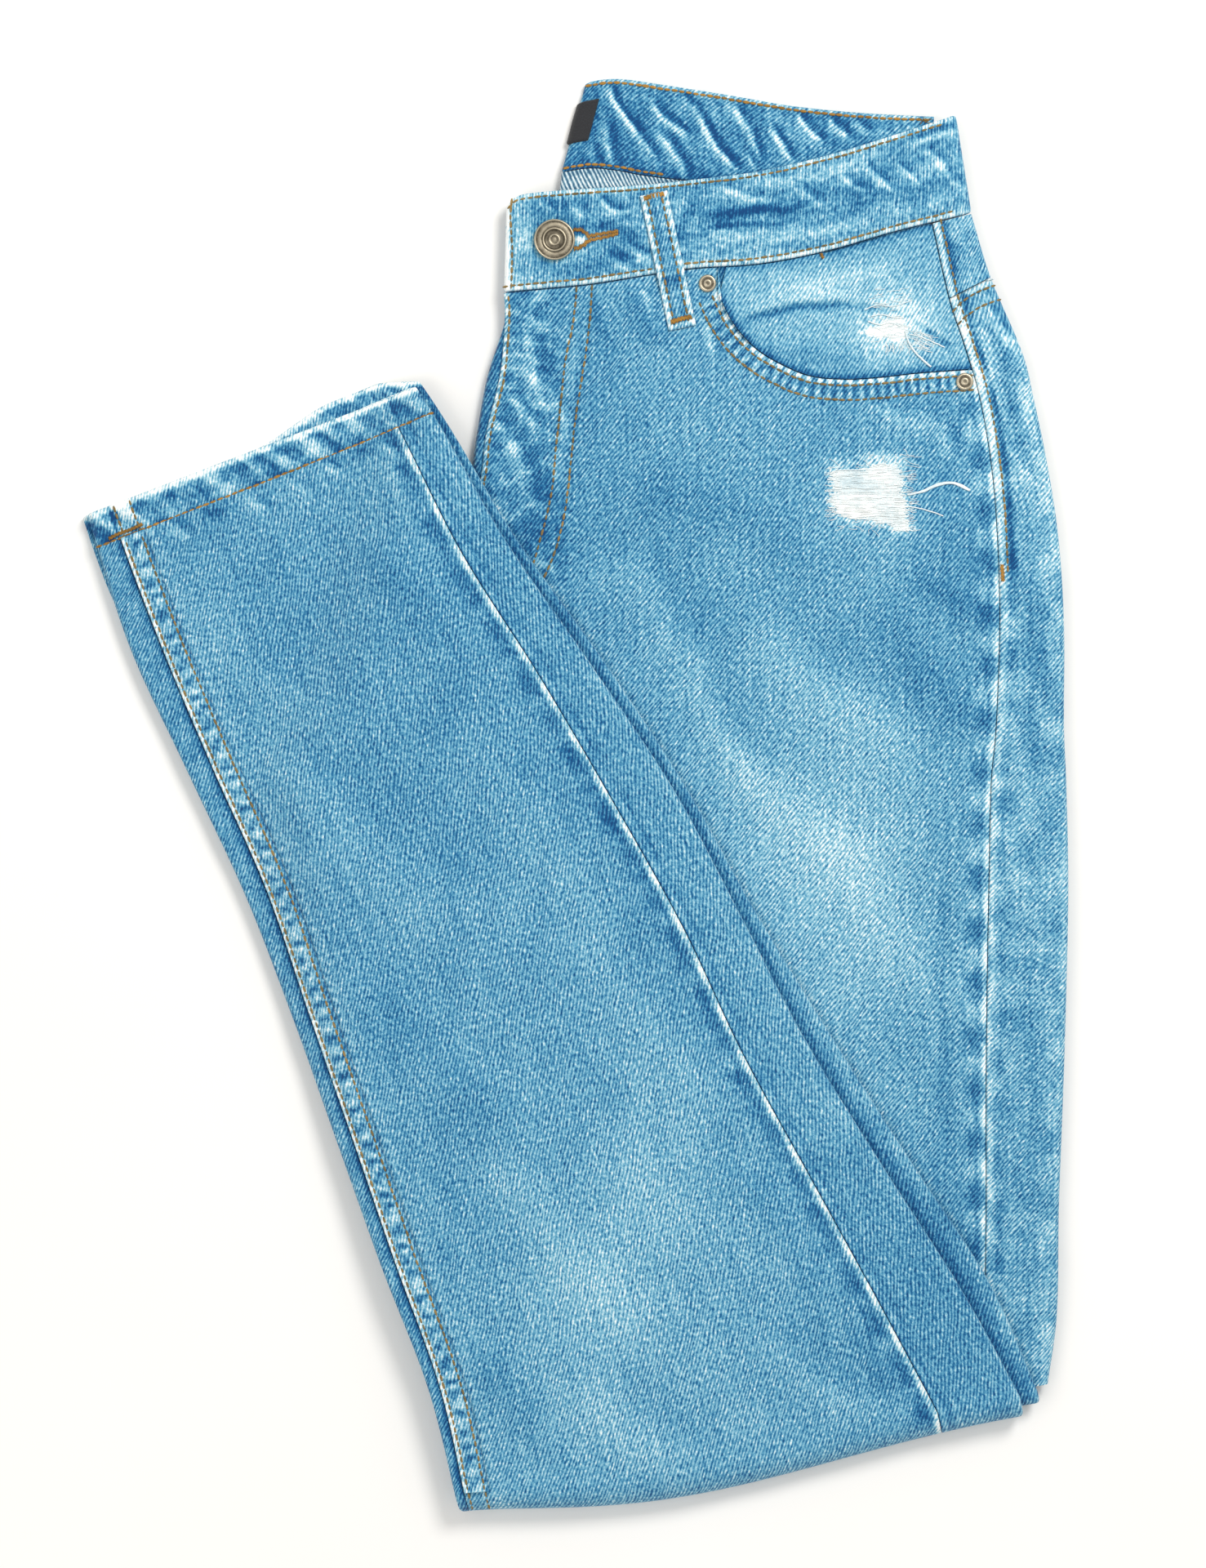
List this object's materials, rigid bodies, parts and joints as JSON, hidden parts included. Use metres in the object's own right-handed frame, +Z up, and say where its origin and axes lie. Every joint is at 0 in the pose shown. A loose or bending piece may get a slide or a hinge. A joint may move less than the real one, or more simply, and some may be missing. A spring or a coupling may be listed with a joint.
{
  "type": "folded boyfriend jeans",
  "caption": "Washed denim boyfriend jeans, buttoned, folded in half and folded up at the knee, lying flat.",
  "frame": {"origin": "middle of the footprint, on the table that the folded jeans lie on", "axes": "+X to the right and +Y towards the waist as seen from above, +Z up off the table"},
  "size_m": [0.412, 0.5982, 0.0182],
  "materials": {
    "denim_wash": "light blue stone-washed twill with worn pale edges",
    "denim_fade": "the same twill, faded pale over the thigh and below the knee",
    "denim_deep": "the same twill where it is shaded and less worn",
    "denim_inside": "inside of the waistband and pale reverse side of the twill",
    "denim_facing": "paler pocket facing, worn white at its middle",
    "antique_metal": "antiqued nickel with dark recesses",
    "label_black": "plain black woven label"
  },
  "bodies": {
    "root": {"hidden_body_layers": "denim_deep", "left_front": "denim_fade", "pocket_facing": "denim_facing", "back_yoke": "denim_wash", "left_back": "denim_wash", "front_waistband": "denim_wash", "back_waistband": "denim_inside", "yoke_inside": "denim_inside", "woven_label": "label_black", "belt_loop": "denim_wash", "waist_button": "antique_metal", "pocket_rivet_upper": "antique_metal", "pocket_rivet_side": "antique_metal", "left_leg_hem": "denim_wash", "right_leg_hem": "denim_wash", "left_leg_folded": "denim_deep", "right_leg_back": "denim_wash", "right_leg_front": "denim_fade", "right_inseam_fell": "denim_wash"}
  },
  "joints": []
}
